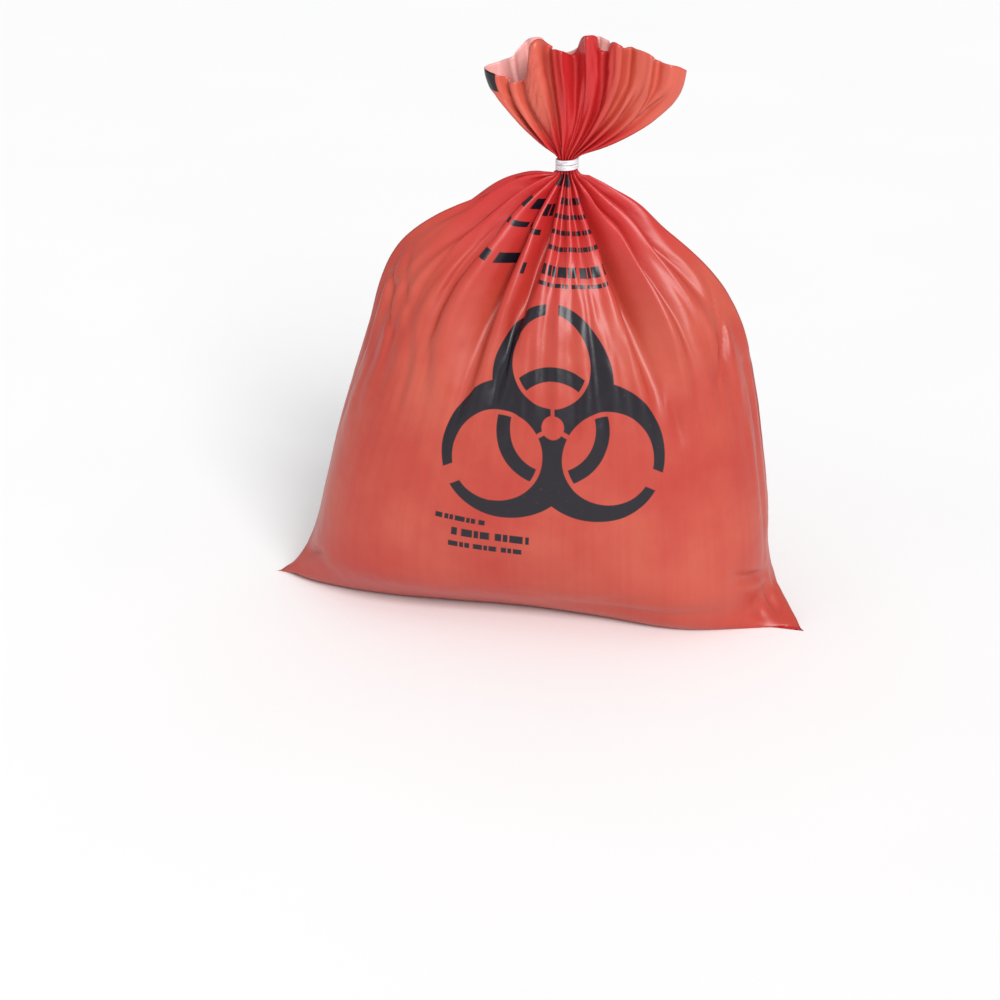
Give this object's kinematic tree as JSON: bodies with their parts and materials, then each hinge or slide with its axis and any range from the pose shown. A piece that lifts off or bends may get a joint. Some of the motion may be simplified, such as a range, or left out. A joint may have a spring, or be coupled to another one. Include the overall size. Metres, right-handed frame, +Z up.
{
  "type": "biohazard waste bag",
  "caption": "Filled film waste bag standing on its sealed bottom, gathered at the neck and closed with a wound tie, its open mouth flaring above the tie",
  "frame": {"origin": "on the floor, under the middle of the bounding box", "axes": "+Z up, -Y toward the printed front, +X toward the viewer's right when facing the front"},
  "size_m": [0.482, 0.204, 0.4927],
  "materials": {
    "film_bag": "red polyethylene film, satin",
    "twist_tie": "white paper-covered wire ribbon"
  },
  "bodies": {
    "root": {"film_bag": "film_bag", "twist_tie": "twist_tie"}
  },
  "joints": []
}
